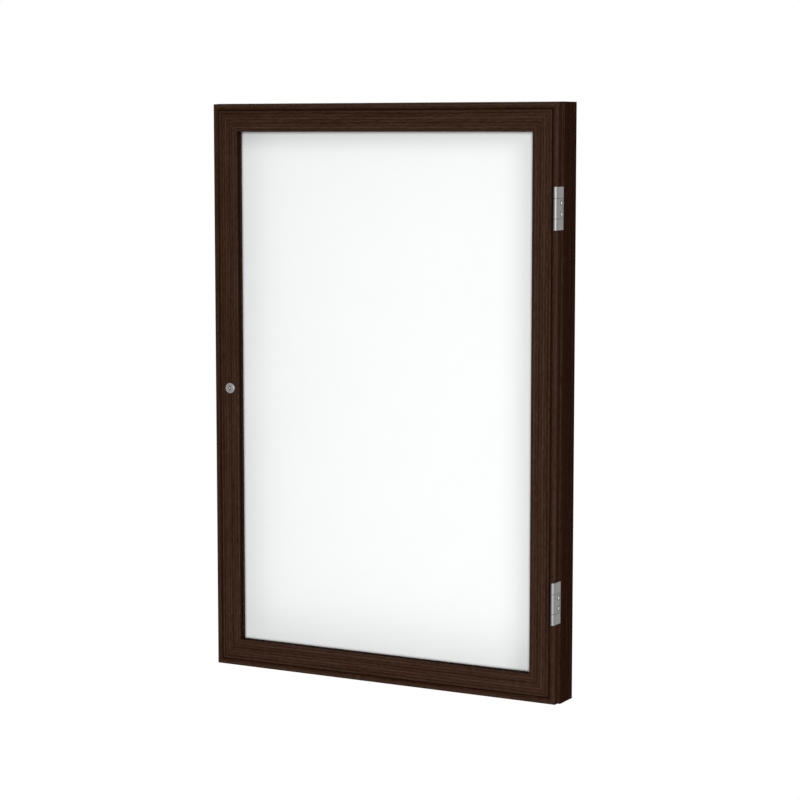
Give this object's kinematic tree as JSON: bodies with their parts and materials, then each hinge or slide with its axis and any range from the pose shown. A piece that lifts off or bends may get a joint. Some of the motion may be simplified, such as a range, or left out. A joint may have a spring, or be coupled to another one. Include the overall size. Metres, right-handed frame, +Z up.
{
  "type": "lockable notice board",
  "caption": "Shallow wall cabinet with a white steel writing board behind a hinged glazed door, mitred wood-grain frames, side hinges and a cam lock.",
  "frame": {"origin": "centre of the backing panel's rear face, which lies on the wall", "axes": "+X to the hinge side, +Y into the wall, +Z up; the viewer stands at -Y"},
  "size_m": [0.614, 0.0699, 0.9132],
  "materials": {
    "grain_extrusion": "dark brown wood-grain film on an aluminium extrusion",
    "white_enamel": "white enamelled steel writing surface",
    "fibre_core": "raw fibreboard",
    "hardboard": "smooth hardboard",
    "clear_glass": "clear tempered pane",
    "gasket_vinyl": "dark brown flexible vinyl",
    "buffer_rubber": "dark soft rubber",
    "satin_aluminium": "satin anodised, brushed along the barrel",
    "zinc_steel": "bright zinc plate",
    "cast_zinc": "satin nickel on die-cast zinc"
  },
  "bodies": {
    "cabinet": {"cabinet_lock_stile": "grain_extrusion", "cabinet_top_rail": "grain_extrusion", "cabinet_hinge_stile": "grain_extrusion", "cabinet_bottom_rail": "grain_extrusion", "cabinet_corner_key_lock_bottom": "zinc_steel", "cabinet_corner_key_lock_top": "zinc_steel", "cabinet_corner_key_hinge_top": "zinc_steel", "cabinet_corner_key_hinge_bottom": "zinc_steel", "white_steel_sheet": "white_enamel", "board_core": "fibre_core", "backing_panel": "hardboard", "keeper_plate": "zinc_steel", "keeper_screw_upper": "zinc_steel", "keeper_screw_lower": "zinc_steel", "door_buffer_upper": "buffer_rubber", "door_buffer_lower": "buffer_rubber", "upper_hinge_fixed_leaf": "satin_aluminium", "upper_hinge_pin": "zinc_steel", "upper_hinge_foot_screw_upper": "zinc_steel", "upper_hinge_foot_screw_lower": "zinc_steel", "lower_hinge_fixed_leaf": "satin_aluminium", "lower_hinge_pin": "zinc_steel", "lower_hinge_foot_screw_upper": "zinc_steel", "lower_hinge_foot_screw_lower": "zinc_steel"},
    "door": {"door_lock_stile": "grain_extrusion", "door_top_rail": "grain_extrusion", "door_hinge_stile": "grain_extrusion", "door_bottom_rail": "grain_extrusion", "door_corner_key_lock_bottom": "zinc_steel", "door_corner_key_lock_top": "zinc_steel", "door_corner_key_hinge_top": "zinc_steel", "door_corner_key_hinge_bottom": "zinc_steel", "glazing_pane": "clear_glass", "glazing_gasket_lock": "gasket_vinyl", "glazing_gasket_top": "gasket_vinyl", "glazing_gasket_hinge": "gasket_vinyl", "glazing_gasket_bottom": "gasket_vinyl", "upper_hinge_door_leaf": "satin_aluminium", "upper_hinge_leaf_screw_upper": "zinc_steel", "upper_hinge_leaf_screw_lower": "zinc_steel", "lower_hinge_door_leaf": "satin_aluminium", "lower_hinge_leaf_screw_upper": "zinc_steel", "lower_hinge_leaf_screw_lower": "zinc_steel", "lock_body": "cast_zinc", "lock_washer": "zinc_steel", "lock_nut": "zinc_steel"},
    "lock_plug": {"lock_plug": "cast_zinc", "lock_cam": "zinc_steel", "cam_screw": "zinc_steel"}
  },
  "joints": [
    {"name": "door_swing", "type": "hinge", "parent": "cabinet", "child": "door", "pos_m": [0.30385, -0.06715, 0], "axis": [0, 0, 1], "range_deg": [0, 180]},
    {"name": "lock_turn", "type": "hinge", "parent": "door", "child": "lock_plug", "pos_m": [-0.27729, -0.05, 0], "axis": [0, 1, 0], "range_deg": [0, 90]}
  ]
}
